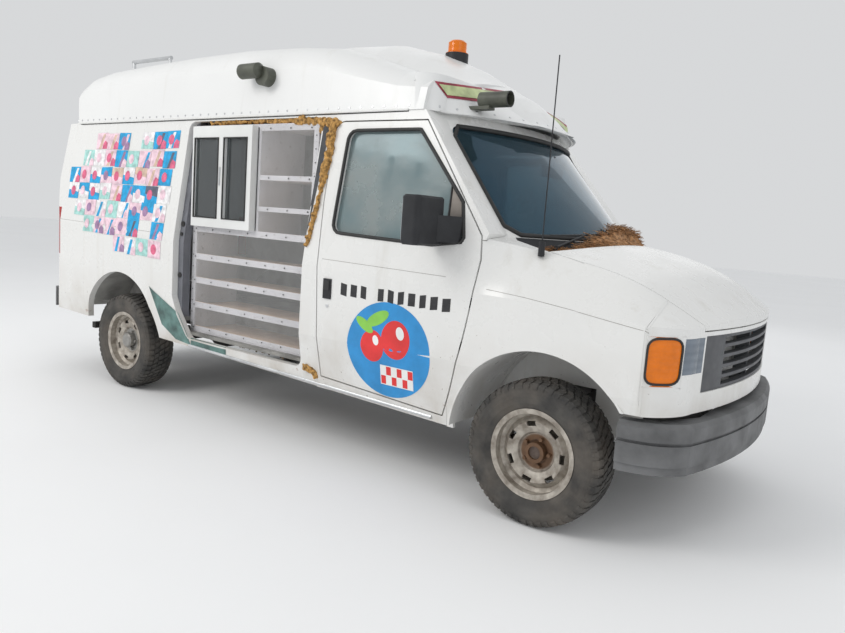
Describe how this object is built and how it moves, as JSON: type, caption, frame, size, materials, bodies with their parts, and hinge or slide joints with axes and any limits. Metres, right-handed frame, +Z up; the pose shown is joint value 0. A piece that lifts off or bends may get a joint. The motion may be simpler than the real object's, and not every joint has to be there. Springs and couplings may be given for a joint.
{
  "type": "full-size van",
  "caption": "Full-size van with a raised roof, display cabinet and service window in its side, opening doors and hood, steered and rolling wheels.",
  "frame": {"origin": "bounding box's bottom centre, on the ground", "axes": "+X towards the nose, +Y to the left side, +Z up"},
  "size_m": [5.382, 2.49, 2.5919],
  "materials": {
    "body_paint": "faded gloss",
    "roof_gel": "weathered gloss",
    "black_trim": "satin",
    "bumper_grey": "matte",
    "dash_plastic": "matte",
    "tinted_glass": "clear",
    "clear_sheet": "clear",
    "lamp_lens": "clear",
    "amber_lens": "gloss",
    "red_lens": "gloss",
    "chassis_black": "dusty",
    "floor_paint": "matte",
    "steel": "rusty",
    "bare_metal": "satin",
    "iron": "rough",
    "wheel_paint": "weathered",
    "tyre_rubber": "dusty",
    "cabinet_board": "satin",
    "window_frame": "satin",
    "seat_cloth": "worn"
  },
  "bodies": {
    "body": {"antenna": "black_trim", "beacon": "amber_lens", "body_side_left": "body_paint", "body_side_right": "body_paint", "cab_front": "body_paint", "cabinet_sheet": "clear_sheet", "chassis_frame": "chassis_black", "corner_lamp_left": "amber_lens", "corner_lamp_right": "amber_lens", "cowl_panel": "black_trim", "dashboard": "dash_plastic", "display_cabinet": "cabinet_board", "engine": "iron", "engine_cover": "dash_plastic", "exhaust": "steel", "fender_left": "body_paint", "fender_right": "body_paint", "floor_pan": "floor_paint", "front_axle": "chassis_black", "front_bumper": "bumper_grey", "grille": "bumper_grey", "header_panel": "body_paint", "headlamp_left": "lamp_lens", "headlamp_right": "lamp_lens", "rear_axle": "chassis_black", "rear_bumper": "bumper_grey", "roof_bar": "bare_metal", "roof_cap": "roof_gel", "roof_speakers": "black_trim", "seats": "seat_cloth", "service_glass": "tinted_glass", "service_window": "window_frame", "side_posts": "body_paint", "steering_wheel": "black_trim", "tail_lamp_left": "red_lens", "tail_lamp_right": "red_lens", "windshield": "tinted_glass"},
    "front_door_right": {"front_door_right": "body_paint", "door_glass_right": "tinted_glass", "mirror_right": "black_trim"},
    "front_door_left": {"front_door_left": "body_paint", "door_glass_left": "tinted_glass", "mirror_left": "black_trim"},
    "rear_door_right": {"rear_door_right": "body_paint", "rear_glass_right": "tinted_glass"},
    "rear_door_left": {"rear_door_left": "body_paint", "rear_glass_left": "tinted_glass"},
    "hood": {"hood": "body_paint"},
    "knuckle_right": {"knuckle_right": "iron"},
    "knuckle_left": {"knuckle_left": "iron"},
    "wheel_front_right": {"rim_front_right": "wheel_paint", "tyre_front_right": "tyre_rubber"},
    "wheel_front_left": {"rim_front_left": "wheel_paint", "tyre_front_left": "tyre_rubber"},
    "wheel_rear_right": {"rim_rear_right": "wheel_paint", "tyre_rear_right": "tyre_rubber"},
    "wheel_rear_left": {"rim_rear_left": "wheel_paint", "tyre_rear_left": "tyre_rubber"}
  },
  "joints": [
    {"name": "front_door_right_hinge", "type": "hinge", "parent": "body", "child": "front_door_right", "pos_m": [1.455, -0.999, 0.93], "axis": [0, 0, 1], "range_deg": [0, 65]},
    {"name": "front_door_left_hinge", "type": "hinge", "parent": "body", "child": "front_door_left", "pos_m": [1.455, 0.999, 0.93], "axis": [0, 0, -1], "range_deg": [0, 65]},
    {"name": "rear_door_right_hinge", "type": "hinge", "parent": "body", "child": "rear_door_right", "pos_m": [-2.622, -0.711, 0.98], "axis": [0, 0, 1], "range_deg": [0, 100]},
    {"name": "rear_door_left_hinge", "type": "hinge", "parent": "body", "child": "rear_door_left", "pos_m": [-2.622, 0.711, 0.98], "axis": [0, 0, -1], "range_deg": [0, 100]},
    {"name": "hood_hinge", "type": "hinge", "parent": "body", "child": "hood", "pos_m": [1.825, 0, 1.278], "axis": [0, -1, 0], "range_deg": [0, 50]},
    {"name": "steer_left", "type": "hinge", "parent": "body", "child": "knuckle_left", "pos_m": [1.901, 0.7725, 0.357], "axis": [0, 0, 1], "range_deg": [-32, 32]},
    {"name": "steer_right", "type": "hinge", "parent": "body", "child": "knuckle_right", "pos_m": [1.901, -0.7725, 0.357], "axis": [0, 0, 1], "range_deg": [-32, 32]},
    {"name": "spin_front_left", "type": "hinge", "parent": "knuckle_left", "child": "wheel_front_left", "pos_m": [1.901, 0.8675, 0.357], "axis": [0, 1, 0], "continuous": true},
    {"name": "spin_front_right", "type": "hinge", "parent": "knuckle_right", "child": "wheel_front_right", "pos_m": [1.901, -0.8675, 0.357], "axis": [0, 1, 0], "continuous": true},
    {"name": "spin_rear_left", "type": "hinge", "parent": "body", "child": "wheel_rear_left", "pos_m": [-1.604, 0.855, 0.357], "axis": [0, 1, 0], "continuous": true},
    {"name": "spin_rear_right", "type": "hinge", "parent": "body", "child": "wheel_rear_right", "pos_m": [-1.604, -0.855, 0.357], "axis": [0, 1, 0], "continuous": true}
  ],
  "couplings": [
    {"joint": "steer_right", "follows": "steer_left", "ratio": 1}
  ]
}
